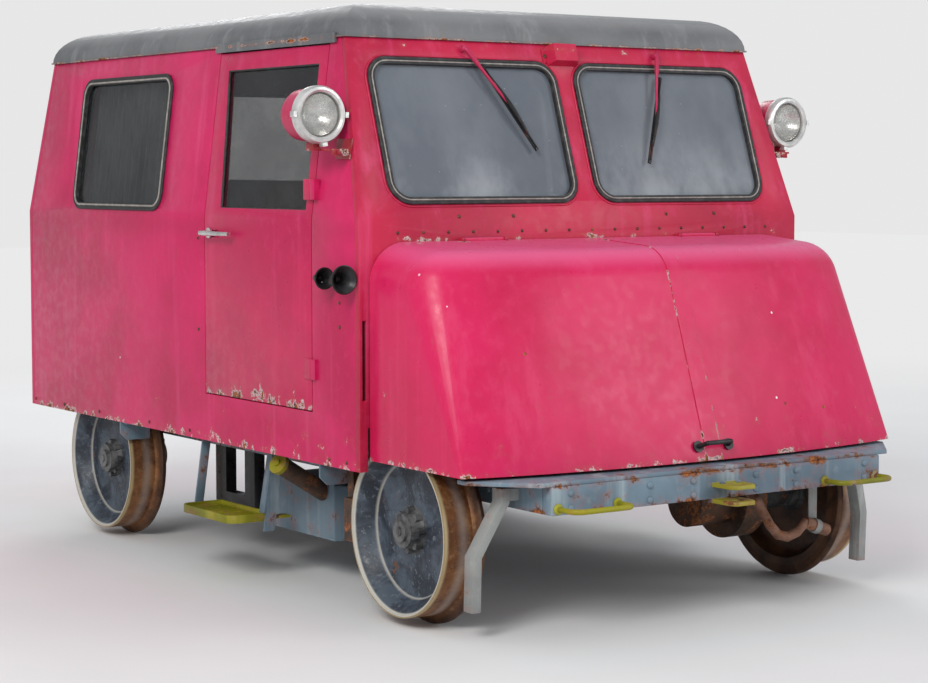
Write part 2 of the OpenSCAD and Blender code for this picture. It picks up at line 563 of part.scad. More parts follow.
// ---- engine and drive ---------------------------------------------------
module engine_block() color([0.35, 0.37, 0.38]) {
  block(-120, 120, -1170, -940, 500, 640);
  block(-120, 120, -1119.5, -940, 639, 700);
  // cylinder banks with fins
  both() for (i = [0 : 6]) block(120 + i * 16, 128 + i * 16, -1150, -960, 520, 660);
  both() block(118, 232, -1140, -970, 535, 645);
  both() block(232, 262, -1155, -955, 515, 665);
  // fan housing
  difference() { bar_y(0, -1175, -1120, 800, 150); bar_y(0, -1176, -1132, 800, 138); bar_y(0, -1133, -1110, 800, 12.06); }
  block(-110, 110, -1119.5, -1000, 699, 800);
  block(-150, 150, -1130, -1119.5, 690, 780);
  both() block(262, 300, -1090, -1060, 380, 540);
  both() block(119, 606, -1110, -1080, 463.2, 499);
  block(-125, 125, -1110, -1080, 463.2, 505);
}
module engine_fan() color([0.6, 0.6, 0.6]) {
  bar_y(0, -1172, -1145, 800, 40);
  for (a = [0 : 30 : 330]) translate([0, -1160, 800]) rotate([0, a, 0]) translate([0, 0, 80]) rotate([0, 0, 25]) cube([5, 20, 98], center = true);
  bar_y(0, -1145, -1126, 800, 12);
}
module gearbox() color([0.32, 0.34, 0.34]) {
  bar_y(0, -940, -880, 600, 118);
  block(-95, 95, -940, -590, 455, 560);
  block(-30, 30, -592, -512, 500, 573.7);
  // side case towards the output shaft
  difference() { block(94, 419.5, -1020, -900, 425, 499); bar_x(92, 430, -960, 462, 20.05); }
  // lower drum box ahead of the chain case
  bar_x(275, 419.5, front_wheel_y, wz, 85);
  block(280, 419.5, -1040, -920, 280, 426);
}
module output_shaft() color("silver") {
  bar_x(96, 494, -960, 462, 20);
  translate([452, -960, 462]) rotate([0, 90, 0]) difference() {
    linear_extrude(height = 8) union() { circle(r = 44); for (i = [0 : 14]) rotate([0, 0, i * 24]) translate([44, 0]) circle(r = 4, $fn = 16); }
  }
}
module chain_case() color([0.14, 0.13, 0.12]) difference() {
  union() { bar_x(420, 506, front_wheel_y, wz, 132); bar_x(420, 506, -960, 462, 72); block(420, 506, -1032, -888, 300, 462); }
  bar_x(426, 500, front_wheel_y, wz, 126);
  bar_x(426, 500, -960, 462, 66);
  block(426, 500, -1026, -894, 300, 461);
  bar_x(440, 514, front_wheel_y, wz, axle_r + 1);
  bar_x(410, 440, -960, 462, 21);
}

// ---- cab inside ---------------------------------------------------------
sy = [-60, 860];     // front edge of the two benches
module seat_frames() color([0.3, 0.3, 0.3]) for (y = sy) {
  for (x = [-600, -40, 540]) block(x, x + 60, y + 20, y + 400, 582, 800);
  block(-640, 640, y + 10, y + 440, 800, 820);
  block(-640, 640, y + 440, y + 460, 582, 1240);
}
module seat_cushions() color([0.35, 0.2, 0.14]) for (y = sy) block(-640, 640, y, y + 436, 820.5, 910);
module seat_backs() color([0.35, 0.2, 0.14]) for (y = sy) block(-640, 640, y + 355, y + 439.5, 911, 1290);
module dashboard() color([0.25, 0.26, 0.27]) {
  front_view(-848.5, -700) polygon([[-700, 1020], [700, 1020], [700, 1130], [-700, 1130]]);
  for (x = [-420, -300, -180]) bar_y(x, -702, -692, 1076, 42);
  for (x = [200, 260, 320]) bar_y(x, -700, -676, 1060, 10);
}
module gear_lever() color(black) {
  translate([0, -550, 590]) sphere(r = 16);
  bar_x(-22, 22, -550, 590, 5);
  rod1([0, -550, 590], [0, -500, 860], 7);
  translate([0, -497, 872]) sphere(r = 20);
}
module brake_lever() color([0.2, 0.2, 0.22]) {
  bar_x(330, 380, -480, 620, 22);
  rod1([355, -480, 620], [355, -300, 940], 9);
  rod1([355, -300, 940], [355, -238, 1050], 14);
}
module throttle_pedal() color([0.2, 0.2, 0.22]) {
  bar_x(-420, -340, -740, 640, 8);
  hull() { translate([-410, -742, 640]) cube([60, 4, 4]); translate([-410, -690, 780]) cube([60, 4, 4]); }
}

side_members();
buffer_beam_front();
buffer_beam_rear();
cross_members();
front_apron();
floor_plate();
cab_side_left();
cab_side_right();
cab_front();
cab_rear();
roof();
window_seals();
window_glass();
door_left();
door_right();
door_glass_left();
door_glass_right();
door_handle_left();
door_handle_right();
hood();
hood_handle();
wiper_left();
wiper_right();
wiper_motor_cover();
headlamp_drums();
headlamp_rings();
headlamp_lenses();
headlamp_brackets();
horns();
lifting_handles();
rail_guards();
wheel_front_left();
wheel_front_right();
wheel_rear_left();
wheel_rear_right();
axle_pedestals();
bearing_bushes();
rubber_springs();
brake_shoe_left();
brake_shoe_right();
brake_hanger_frame();
fuel_tank();
filler_neck();
filler_cap();
foot_steps();
step_hangers();
exhaust_pipe();
exhaust_strap();
engine_block();
engine_fan();
gearbox();
output_shaft();
chain_case();
seat_frames();
seat_cushions();
seat_backs();
dashboard();
gear_lever();
brake_lever();
throttle_pedal();
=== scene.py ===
import bpy, bmesh, math
from mathutils import Vector, Matrix


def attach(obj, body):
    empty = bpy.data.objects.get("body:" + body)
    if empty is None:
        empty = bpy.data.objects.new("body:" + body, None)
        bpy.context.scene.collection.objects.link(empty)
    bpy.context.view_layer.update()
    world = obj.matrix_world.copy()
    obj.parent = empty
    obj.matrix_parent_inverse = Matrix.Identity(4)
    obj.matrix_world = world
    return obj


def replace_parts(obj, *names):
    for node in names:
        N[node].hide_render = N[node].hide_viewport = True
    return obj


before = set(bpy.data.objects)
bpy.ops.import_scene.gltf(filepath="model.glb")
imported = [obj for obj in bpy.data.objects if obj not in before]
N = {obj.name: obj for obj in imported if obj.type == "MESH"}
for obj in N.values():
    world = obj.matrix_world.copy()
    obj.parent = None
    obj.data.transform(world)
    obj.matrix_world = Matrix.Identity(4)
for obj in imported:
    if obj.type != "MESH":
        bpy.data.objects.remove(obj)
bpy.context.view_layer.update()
SC = bpy.context.scene
rad = math.radians

# ------------------------------------------------------------------ camera
cam_data = bpy.data.cameras.new("camera")
cam = bpy.data.objects.new("camera", cam_data)
SC.collection.objects.link(cam)
SC.camera = cam
cam.location = (-4.2053, -6.3055, 1.3115)
cam.rotation_mode = "XYZ"
cam.rotation_euler = (rad(85.85), 0.0, rad(-34.55))
cam_data.sensor_width = 36.0
cam_data.lens = 2200.4 / 928 * 36
cam_data.shift_x = -0.0058
cam_data.shift_y = -0.0096
cam_data.clip_end = 100


# ------------------------------------------------------- material node graph
class Mat:
    def __init__(s, name):
        s.m = bpy.data.materials.new(name)
        s.m.use_nodes = True
        s.t = s.m.node_tree
        s.t.nodes.clear()
        s.out = s.new("ShaderNodeOutputMaterial")
        s.p = s.new("ShaderNodeBsdfPrincipled")
        s.t.links.new(s.p.outputs[0], s.out.inputs[0])
        s.tc = s.new("ShaderNodeTexCoord")
        s.co = s.tc.outputs["Object"]
        s.geo = None

    def new(s, kind):
        return s.t.nodes.new(kind)

    def link(s, a, b):
        s.t.links.new(a, b)

    def put(s, sock, v):
        if hasattr(v, "is_output"):
            s.link(v, sock)
        elif v is not None:
            if hasattr(sock, "default_value"):
                if isinstance(v, (tuple, list)) and len(v) == 3 and sock.type == "RGBA":
                    v = (*v, 1.0)
                sock.default_value = v

    def scaled(s, sx, sy, sz):
        n = s.new("ShaderNodeMapping")
        s.link(s.co, n.inputs["Vector"])
        n.inputs["Scale"].default_value = (sx, sy, sz)
        return n.outputs[0]

    def noise(s, scale, detail=4, rough=0.55, vec=None, dist=0.0):
        n = s.new("ShaderNodeTexNoise")
        s.link(vec or s.co, n.inputs["Vector"])
        n.inputs["Scale"].default_value = scale
        n.inputs["Detail"].default_value = detail
        n.inputs["Roughness"].default_value = rough
        n.inputs["Distortion"].default_value = dist
        return n.outputs["Fac"]

    def voronoi(s, scale, feature="F1", vec=None):
        n = s.new("ShaderNodeTexVoronoi")
        n.feature = feature
        s.link(vec or s.co, n.inputs["Vector"])
        n.inputs["Scale"].default_value = scale
        return n

    def rng(s, v, a, b, c=0.0, d=1.0, smooth=True):
        n = s.new("ShaderNodeMapRange")
        n.interpolation_type = "SMOOTHSTEP" if smooth else "LINEAR"
        n.clamp = True
        s.link(v, n.inputs[0])
        for i, x in enumerate((a, b, c, d)):
            n.inputs[i + 1].default_value = x
        return n.outputs[0]

    def math(s, op, a, b=0.0):
        n = s.new("ShaderNodeMath")
        n.operation = op
        s.put(n.inputs[0], a)
        s.put(n.inputs[1], b)
        return n.outputs[0]

    def mix(s, f, a, b, mode="MIX"):
        n = s.new("ShaderNodeMix")
        n.data_type = "RGBA"
        n.blend_type = mode
        s.put(n.inputs[0], f)
        s.put(n.inputs[6], a)
        s.put(n.inputs[7], b)
        return n.outputs[2]

    def xyz(s):
        n = s.new("ShaderNodeSeparateXYZ")
        s.link(s.co, n.inputs[0])
        return n.outputs

    def up(s):
        if s.geo is None:
            s.geo = s.new("ShaderNodeTexCoord")
        n = s.new("ShaderNodeSeparateXYZ")
        s.link(s.geo.outputs["Normal"], n.inputs[0])
        return n.outputs[2]

    def bump(s, *layers):
        prev = None
        for h, dist, strength in layers:
            n = s.new("ShaderNodeBump")
            n.inputs["Distance"].default_value = dist
            n.inputs["Strength"].default_value = strength
            s.link(h, n.inputs["Height"])
            if prev:
                s.link(prev, n.inputs["Normal"])
            prev = n.outputs[0]
        s.link(prev, s.p.inputs["Normal"])

    def band(s, v, centre, half, strength):
        d = s.math("ABSOLUTE", s.math("SUBTRACT", v, centre))
        return s.rng(d, 0.0, half, strength, 0.0)


def paint(name, base, pale, dark, zones=(), rust_at=0.70, streak=0.5, spots=0.5, painted_top_light=None, rough=0.36,
          belt=None, seam=False, chips=True, prime=(0.62, 0.58, 0.58), dents=0.0, tip=None):
    """Old brushed paint on sheet steel: patchy tone, runs, chips to primer, rust in zones along z; faces turned upward
    are blended toward a lighter colour as painted top light.
    """
    g = Mat(name)
    x, y, z = g.xyz()
    cloud = g.noise(2.2, 4, 0.6)
    fine = g.noise(26, 6, 0.65)
    runs = g.noise(1.0, 5, 0.62, g.scaled(13, 13, 0.7))
    runs2 = g.noise(1.0, 6, 0.6, g.scaled(38, 38, 1.6))
    c = g.mix(g.rng(cloud, 0.35, 0.68), base, dark)
    c = g.mix(g.math("MULTIPLY", g.rng(runs, 0.52, 0.72), streak), c, pale)
    c = g.mix(g.math("MULTIPLY", g.rng(runs2, 0.55, 0.75), streak * 0.55), c, dark)
    c = g.mix(g.math("MULTIPLY", g.rng(fine, 0.5, 0.75), 0.25), c, pale)
    # painted light: faces whose normal points upward are blended toward a lighter colour
    if painted_top_light:
        c = g.mix(g.rng(g.up(), 0.45, 0.95, 0.0, 0.85), c, painted_top_light)
    if belt:
        c = g.mix(g.band(z, belt, 0.055, 0.45), c, dark)
    if tip:
        c = g.mix(g.rng(g.math("ABSOLUTE", y), 1.5055, 1.5065), c, g.mix(g.rng(cloud, 0.40, 0.60), tip[0], tip[1]))
    rn = g.noise(13, 10, 0.72, None, 0.3)
    total = rn
    for zc, half, k in zones:
        total = g.math("ADD", total, g.band(z, zc, half, k))
    if seam:
        total = g.math("ADD", total, g.band(g.math("ABSOLUTE", g.math("SUBTRACT", x, 0.020)), 0.030, 0.007, 0.15))
    rust = g.rng(total, rust_at, rust_at + 0.022)
    halo = g.rng(total, rust_at - 0.035, rust_at - 0.008)
    wash = g.math("MULTIPLY", g.rng(total, rust_at - 0.14, rust_at), 0.35)
    c = g.mix(wash, c, (0.36, 0.09, 0.05))
    if chips:
        c = g.mix(g.math("MULTIPLY", halo, 0.8), c, prime)
    # small rust pits with a dark centre, and white chips
    v = g.voronoi(7.5)
    pick = g.new("ShaderNodeSeparateColor")
    g.link(v.outputs["Color"], pick.inputs[0])
    dot = g.math("MULTIPLY", g.rng(v.outputs["Distance"], 0.055, 0.035), g.rng(pick.outputs[0], 1 - 0.30 * spots, 1 - 0.29 * spots))
    v2 = g.voronoi(11.0)
    pick2 = g.new("ShaderNodeSeparateColor")
    g.link(v2.outputs["Color"], pick2.inputs[0])
    white = g.math("MULTIPLY", g.rng(v2.outputs["Distance"], 0.05, 0.035), g.rng(pick2.outputs[1], 1 - 0.12 * spots, 1 - 0.11 * spots))
    c = g.mix(white, c, (0.80, 0.74, 0.74))
    rc = g.mix(g.rng(g.noise(60, 6, 0.7), 0.38, 0.62), (0.055, 0.018, 0.010), (0.36, 0.12, 0.035))
    allrust = g.math("MAXIMUM", rust, dot)
    c = g.mix(allrust, c, rc)
    g.link(c, g.p.inputs["Base Color"])
    r = g.math("ADD", g.rng(fine, 0.3, 0.7, rough - 0.07, rough + 0.12), g.math("MULTIPLY", allrust, 0.45))
    g.link(r, g.p.inputs["Roughness"])
    g.p.inputs["Specular IOR Level"].default_value = 0.28
    g.p.inputs["Coat Weight"].default_value = 0.05
    g.p.inputs["Coat Roughness"].default_value = 0.25
    relief = g.math("SUBTRACT", g.math("MULTIPLY", rn, allrust), allrust)
    layers = [(g.noise(260, 3, 0.6), 0.0006, 0.25), (relief, 0.0012, 0.6)]
    if dents:
        layers.insert(0, (g.noise(3.2, 2, 0.45), dents, 0.8))
    g.bump(*layers)
    return g.m


def metal(name, base, other, rough=0.5, metallic=1.0, rusty=0.0, rust_at=0.6, scale=18, peel=0.0006):
    g = Mat(name)
    n1 = g.noise(scale, 8, 0.65)
    n2 = g.noise(scale * 6, 5, 0.6)
    c = g.mix(g.rng(n1, 0.35, 0.68), base, other)
    rust = g.math("MULTIPLY", g.rng(g.noise(scale * 0.7, 10, 0.74), rust_at, rust_at + 0.06), rusty)
    c = g.mix(rust, c, g.mix(g.rng(n2, 0.35, 0.65), (0.06, 0.02, 0.01), (0.33, 0.12, 0.04)))
    g.link(c, g.p.inputs["Base Color"])
    if rusty > 0:
        g.link(g.math("MULTIPLY", g.math("SUBTRACT", 1.0, rust), metallic), g.p.inputs["Metallic"])
    else:
        g.p.inputs["Metallic"].default_value = metallic
    g.link(g.math("ADD", g.rng(n2, 0.3, 0.7, rough - 0.08, rough + 0.1), g.math("MULTIPLY", rust, 0.35)), g.p.inputs["Roughness"])
    g.bump((n2, peel, 0.5), (n1, peel * 3, 0.4))
    return g.m


def wheel_material(name, y0, z0=0.278):
    """Painted disc, chipped; bright worn lip; brown rusted tread with a polished running band."""
    g = Mat(name)
    x, y, z = g.xyz()
    dy, dz = g.math("SUBTRACT", y, y0), g.math("SUBTRACT", z, z0)
    r = g.math("SQRT", g.math("ADD", g.math("MULTIPLY", dy, dy), g.math("MULTIPLY", dz, dz)))
    ax = g.math("ABSOLUTE", x)
    n = g.noise(9, 9, 0.68, None, 0.4)
    fine = g.noise(70, 6, 0.65)
    face = g.mix(g.rng(n, 0.42, 0.60), (0.013, 0.019, 0.032), (0.060, 0.080, 0.106))
    face = g.mix(g.rng(fine, 0.56, 0.66, 0.0, 0.7), face, (0.15, 0.17, 0.19))
    face = g.mix(g.rng(g.noise(16, 9, 0.7), 0.62, 0.67), face, (0.16, 0.06, 0.025))
    ring = g.math("MAXIMUM", g.band(r, 0.200, 0.005, 0.6), g.band(r, 0.242, 0.008, 1.2))
    face = g.mix(ring, face, (0.52, 0.50, 0.44))
    tread = g.mix(g.rng(n, 0.36, 0.62), (0.110, 0.036, 0.012), (0.27, 0.115, 0.040))
    tread = g.mix(g.rng(fine, 0.5, 0.7, 0.0, 0.45), tread, (0.36, 0.22, 0.11))
    shine = g.band(ax, 0.745, 0.026, 0.35)
    tread = g.mix(shine, tread, (0.46, 0.43, 0.40))
    tread = g.mix(g.band(ax, 0.803, 0.012, 0.8), tread, (0.58, 0.47, 0.26))
    on_tread = g.rng(r, 0.2455, 0.2475)
    c = g.mix(on_tread, face, tread)
    inner = g.mix(g.rng(n, 0.38, 0.62), (0.040, 0.016, 0.008), (0.115, 0.050, 0.022))
    c = g.mix(g.rng(ax, 0.735, 0.725), c, inner)
    c = g.mix(g.math("MULTIPLY", on_tread, g.rng(ax, 0.700, 0.712)), c, tread)
    hub = g.rng(r, 0.074, 0.068)
    c = g.mix(hub, c, g.mix(g.rng(n, 0.4, 0.6), (0.014, 0.015, 0.018), (0.12, 0.12, 0.12)))
    g.link(c, g.p.inputs["Base Color"])
    g.link(g.math("MULTIPLY", on_tread, 0.35), g.p.inputs["Metallic"])
    g.link(g.rng(fine, 0.3, 0.7, 0.34, 0.62), g.p.inputs["Roughness"])
    g.bump((fine, 0.0012, 0.5), (n, 0.002, 0.5))
    return g.m


def rubber(name, c1=(0.012, 0.012, 0.013), c2=(0.06, 0.06, 0.062)):
    g = Mat(name)
    n = g.noise(45, 6, 0.65)
    g.link(g.mix(g.rng(n, 0.4, 0.72), c1, c2), g.p.inputs["Base Color"])
    g.link(g.rng(n, 0.3, 0.7, 0.5, 0.8), g.p.inputs["Roughness"])
    g.bump((g.noise(220, 4, 0.6), 0.0005, 0.4))
    return g.m


def glass_material(name, tint, alpha, dust, dust_amt=0.5, front=None, rough=0.04):
    """Dusty window glass; where front is given, panes ahead of y -0.6 take that colour and alpha as a painted
    reflection, paler in noisy patches towards the bottom.
    """
    g = Mat(name)
    x, y, z = g.xyz()
    n = g.noise(3.0, 5, 0.6, g.scaled(1, 1, 0.6))
    fine = g.noise(55, 7, 0.7)
    low = g.rng(z, 1.20, 1.50, 1.0, 0.25)
    d = g.math("MULTIPLY", g.rng(g.math("ADD", g.math("MULTIPLY", n, 0.6), g.math("MULTIPLY", fine, 0.4)), 0.42, 0.66), dust_amt)
    c = g.mix(d, tint, dust)
    a = g.math("ADD", g.math("MULTIPLY", d, 0.4), alpha)
    # painted reflection: front panes get a near-opaque blue-grey colour, paler in noisy patches lower down
    if front:
        f = g.rng(y, -0.55, -0.62)
        front_pane_reflection = g.mix(g.math("MULTIPLY", g.rng(n, 0.35, 0.65), low), front[0], front[2])
        c = g.mix(f, c, front_pane_reflection)
        a = g.math("ADD", g.math("MULTIPLY", g.math("SUBTRACT", 1.0, f), a), g.math("MULTIPLY", f, front[1]))
    v = g.voronoi(60)
    cell = g.new("ShaderNodeSeparateColor")
    g.link(v.outputs["Color"], cell.inputs[0])
    specks = g.math("MULTIPLY", g.rng(v.outputs["Distance"], 0.16, 0.08, 0.0, 0.5), g.rng(cell.outputs[0], 0.93, 0.94))
    c = g.mix(specks, c, (0.5, 0.5, 0.48))
    g.link(c, g.p.inputs["Base Color"])
    g.link(a, g.p.inputs["Alpha"])
    g.link(g.rng(fine, 0.3, 0.7, rough, rough + 0.12), g.p.inputs["Roughness"])
    g.p.inputs["Specular IOR Level"].default_value = 0.7
    g.bump((g.noise(5, 2, 0.5), 0.0006, 0.15))
    return g.m


def cloth(name, c1, c2, weave=900.0, sheen=0.3):
    g = Mat(name)
    w1 = g.new("ShaderNodeTexWave"); w1.bands_direction = "Y"
    w2 = g.new("ShaderNodeTexWave"); w2.bands_direction = "Z"
    for w in (w1, w2):
        g.link(g.co, w.inputs[0])
        w.inputs["Scale"].default_value = weave / 10
        w.inputs["Distortion"].default_value = 0.4
    f = g.math("MULTIPLY", w1.outputs["Fac"], w2.outputs["Fac"])
    n = g.noise(6, 5, 0.6)
    c = g.mix(g.rng(n, 0.35, 0.65), c1, c2)
    c = g.mix(g.math("MULTIPLY", f, 0.25), c, (0.25, 0.24, 0.22))
    g.link(c, g.p.inputs["Base Color"])
    g.p.inputs["Roughness"].default_value = 0.9
    g.p.inputs["Sheen Weight"].default_value = sheen
    g.bump((f, 0.0008, 0.5), (n, 0.003, 0.3))
    return g.m


def leather(name, c1, c2):
    g = Mat(name)
    v = g.voronoi(330, "F1")
    n = g.noise(5, 6, 0.6)
    wear = g.noise(28, 7, 0.7)
    c = g.mix(g.rng(n, 0.35, 0.65), c1, c2)
    c = g.mix(g.rng(wear, 0.6, 0.72, 0.0, 0.6), c, (0.30, 0.19, 0.12))
    g.link(c, g.p.inputs["Base Color"])
    g.link(g.rng(wear, 0.3, 0.7, 0.38, 0.62), g.p.inputs["Roughness"])
    g.bump((v.outputs["Distance"], 0.0006, 0.6), (n, 0.003, 0.3))
    return g.m


PINK, PALE, DARK = (0.60, 0.012, 0.110), (0.66, 0.065, 0.19), (0.44, 0.008, 0.070)
# lighter colour for the bonnet's upward faces, painted top light
TOP_PAINTED_LIGHT = (0.74, 0.105, 0.26)
m_side = paint("body_paint_side", PINK, PALE, DARK, [(0.438, 0.045, 0.17), (0.53, 0.14, 0.06)], 0.735, 0.45, 0.6, None, 0.36, 1.14, prime=(0.7, 0.6, 0.6), dents=0.006)
m_door = paint("body_paint_door", (0.57, 0.010, 0.085), PALE, DARK, [(0.602, 0.060, 0.22), (0.68, 0.07, 0.06), (1.205, 0.010, 0.05)], 0.735, 0.3, 0.35, None, 0.34, dents=0.005)
m_wall = paint("body_paint_front", (0.50, 0.014, 0.058), PALE, (0.38, 0.010, 0.045), [(1.115, 0.026, 0.13), (1.70, 0.02, 0.10), (0.44, 0.04, 0.16)], 0.735, 0.5, 0.6, None, 0.38, dents=0.004)
m_hood = paint("bonnet_paint", (0.60, 0.012, 0.092), (0.66, 0.055, 0.15), (0.50, 0.009, 0.065), [(0.474, 0.026, 0.17), (0.54, 0.08, 0.05), (1.108, 0.010, 0.12)], 0.735, 0.4, 1.3, TOP_PAINTED_LIGHT, 0.34, None, True, dents=0.016)
m_red = paint("lamp_paint", (0.42, 0.020, 0.075), PALE, DARK, (), 0.72, 0.3, 0.5, None, 0.32)
m_brkt = paint("bracket_paint", (0.36, 0.012, 0.03), (0.5, 0.1, 0.12), (0.2, 0.01, 0.02), (), 0.60, 0.2, 0.5, None, 0.35)
# the roof's upward faces are lightened the same way, as painted top light
m_roof = paint("roof_paint", (0.165, 0.170, 0.176), (0.26, 0.26, 0.265), (0.105, 0.110, 0.117), [(1.717, 0.012, 0.20)], 0.735, 0.6, 0.25, (0.26, 0.265, 0.27), 0.5, None, prime=(0.40, 0.36, 0.32), dents=0.004)
FRAME = ((0.150, 0.215, 0.265), (0.36, 0.42, 0.45), (0.080, 0.115, 0.15), [(0.452, 0.018, 0.10), (0.372, 0.02, 0.08)], 0.645, 0.6, 1.0, None, 0.48)
m_frame = paint("frame_paint", *FRAME, prime=(0.10, 0.07, 0.05))
m_beam = paint("beam_paint", *FRAME, prime=(0.10, 0.07, 0.05), tip=((0.44, 0.40, 0.02), (0.25, 0.22, 0.02)))
m_guard = paint("guard_paint", (0.30, 0.31, 0.30), (0.5, 0.5, 0.48), (0.15, 0.15, 0.15), [(0.09, 0.03, 0.12)], 0.66, 0.6, 1.0, None, 0.55, prime=(0.2, 0.15, 0.1))
m_yel = paint("yellow_paint", (0.27, 0.255, 0.006), (0.40, 0.38, 0.05), (0.13, 0.13, 0.006), (), 0.63, 0.5, 1.0, None, 0.5, prime=(0.2, 0.2, 0.18))
m_black = paint("black_paint", (0.014, 0.014, 0.015), (0.07, 0.07, 0.075), (0.007, 0.007, 0.008), (), 0.70, 0.4, 0.6, None, 0.32, prime=(0.08, 0.07, 0.07))
m_floor = paint("floor_paint", (0.05, 0.05, 0.05), (0.13, 0.12, 0.11), (0.025, 0.025, 0.025), (), 0.62, 0.3, 1.0, None, 0.65, prime=(0.1, 0.08, 0.07))
m_dash = paint("dash_paint", (0.06, 0.065, 0.07), (0.16, 0.16, 0.17), (0.03, 0.03, 0.03), (), 0.72, 0.2, 0.3, None, 0.5, prime=(0.2, 0.2, 0.2))
m_bright = metal("worn_bright_metal", (0.72, 0.71, 0.69), (0.50, 0.49, 0.47), 0.28, 1.0, 0.5, 0.66)
m_ring = metal("lamp_rim_metal", (0.74, 0.73, 0.71), (0.50, 0.50, 0.49), 0.36, 0.75, 0.5, 0.67)
m_cast = metal("cast_iron", (0.10, 0.10, 0.105), (0.045, 0.045, 0.048), 0.62, 0.5, 0.8, 0.56)
m_brown = metal("oily_rust", (0.11, 0.055, 0.032), (0.045, 0.028, 0.02), 0.55, 0.35, 0.9, 0.50)
m_rust = metal("exhaust_rust", (0.26, 0.13, 0.085), (0.14, 0.06, 0.035), 0.72, 0.25, 0.8, 0.52, 22, 0.0012)
m_bronze = metal("bronze", (0.48, 0.30, 0.12), (0.26, 0.16, 0.07), 0.4, 1.0, 0.0)
m_alloy = metal("cast_alloy", (0.52, 0.52, 0.53), (0.34, 0.34, 0.35), 0.5, 0.9, 0.0)
m_rub = rubber("window_rubber")
# pale rubber colour for the painted highlight cord in the window seals
m_seal_highlight = rubber("seal_highlight_paint", (0.24, 0.22, 0.20), (0.42, 0.39, 0.35))
# the front-pane colours and alpha passed here are a painted reflection on the windscreens
m_glass = glass_material("window_glass", (0.014, 0.016, 0.018), 0.30, (0.12, 0.12, 0.115), 0.40, ((0.135, 0.155, 0.185), 0.78, (0.34, 0.37, 0.40)))
m_dglass = glass_material("door_glass", (0.012, 0.013, 0.015), 0.42, (0.09, 0.09, 0.09), 0.30)
m_lens = glass_material("lamp_glass", (0.62, 0.64, 0.62), 0.14, (0.6, 0.58, 0.5), 0.2, None, 0.06)
m_curtain = cloth("curtain_cloth", (0.045, 0.046, 0.052), (0.085, 0.085, 0.09))
m_seat = leather("seat_cover", (0.12, 0.050, 0.032), (0.20, 0.095, 0.060))
m_pipe = leather("seat_piping", (0.05, 0.025, 0.018), (0.08, 0.04, 0.03))

LOOK = {
    "side_members": m_frame, "buffer_beam_front": m_beam, "buffer_beam_rear": m_beam, "cross_members": m_frame,
    "front_apron": m_frame, "fuel_tank": m_frame, "step_hangers": m_frame, "rail_guards": m_guard, "floor_plate": m_floor,
    "cab_side_left": m_side, "cab_side_right": m_side, "cab_front": m_wall, "cab_rear": m_side, "roof": m_roof,
    "window_seals": m_rub, "window_glass": m_glass, "door_left": m_door, "door_right": m_door, "door_glass_left": m_dglass,
    "door_glass_right": m_dglass, "door_handle_left": m_bright, "door_handle_right": m_bright, "hood": m_hood, "hood_handle": m_black,
    "wiper_motor_cover": m_wall, "headlamp_drums": m_red, "headlamp_rings": m_ring, "headlamp_lenses": m_lens,
    "headlamp_brackets": m_brkt, "horns": m_black, "lifting_handles": m_yel, "axle_pedestals": m_cast, "bearing_bushes": m_bronze,
    "rubber_springs": m_rub, "brake_shoe_left": m_brown, "brake_shoe_right": m_brown, "brake_hanger_frame": m_black,
    "filler_neck": m_brown, "filler_cap": m_yel, "foot_steps": m_yel, "exhaust_pipe": m_rust, "exhaust_strap": m_guard,
    "engine_block": m_cast, "engine_fan": m_alloy, "gearbox": m_brown, "output_shaft": m_bright, "chain_case": m_brown,
    "seat_frames": m_black, "dashboard": m_dash, "gear_lever": m_black, "brake_lever": m_black, "throttle_pedal": m_black,
    "wheel_front_left": None, "wheel_front_right": None, "wheel_rear_left": None, "wheel_rear_right": None,
}
m_wf, m_wr = wheel_material("wheel_front", -1.0), wheel_material("wheel_rear", 0.988)
for n in ("wheel_front_left", "wheel_front_right"):
    LOOK[n] = m_wf
for n in ("wheel_rear_left", "wheel_rear_right"):
    LOOK[n] = m_wr

BEVEL = {"side_members": 2.5, "buffer_beam_front": 2.5, "buffer_beam_rear": 2.5, "cross_members": 2, "front_apron": 1.5, "fuel_tank": 2.0,
         "foot_steps": 1.2, "rail_guards": 2.0, "step_hangers": 1.0, "cab_side_left": 1.5, "cab_side_right": 1.5, "cab_rear": 1.5,
         "cab_front": 1.5, "door_left": 1.2, "door_right": 1.2, "brake_hanger_frame": 2, "dashboard": 4, "seat_frames": 2,
         "headlamp_brackets": 0.8, "engine_block": 1.5, "gearbox": 2}


def finish_mesh(o, angle=34.0):
    me = o.data
    for a in [a.name for a in me.attributes if a.name == "custom_normal"]:
        me.attributes.remove(me.attributes[a])
    for p in me.polygons:
        p.use_smooth = True


for name, o in N.items():
    mat = LOOK.get(name)
    if mat:
        o.data.materials.clear()
        o.data.materials.append(mat)
        finish_mesh(o)
        w = o.modifiers.new("weld", "WELD")
        w.merge_threshold = 0.00002
        if name in BEVEL:
            b = o.modifiers.new("bevel", "BEVEL")
            b.width = BEVEL[name] / 1000
            b.segments = 2
            b.limit_method = "ANGLE"
            b.angle_limit = rad(40)
            b.harden_normals = False
            b.use_clamp_overlap = True
        e = o.modifiers.new("edges", "EDGE_SPLIT")
        e.split_angle = rad(34)


# ----------------------------------------------------------- mesh helpers
def add(name, bm, mat, body, smooth=True):
    me = bpy.data.meshes.new(name)
    bmesh.ops.recalc_face_normals(bm, faces=bm.faces)
    bm.to_mesh(me)
    bm.free()
    for p in me.polygons:
        p.use_smooth = smooth
    o = bpy.data.objects.new(name, me)
    SC.collection.objects.link(o)
    me.materials.append(mat)
    if body:
        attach(o, body)
    return o


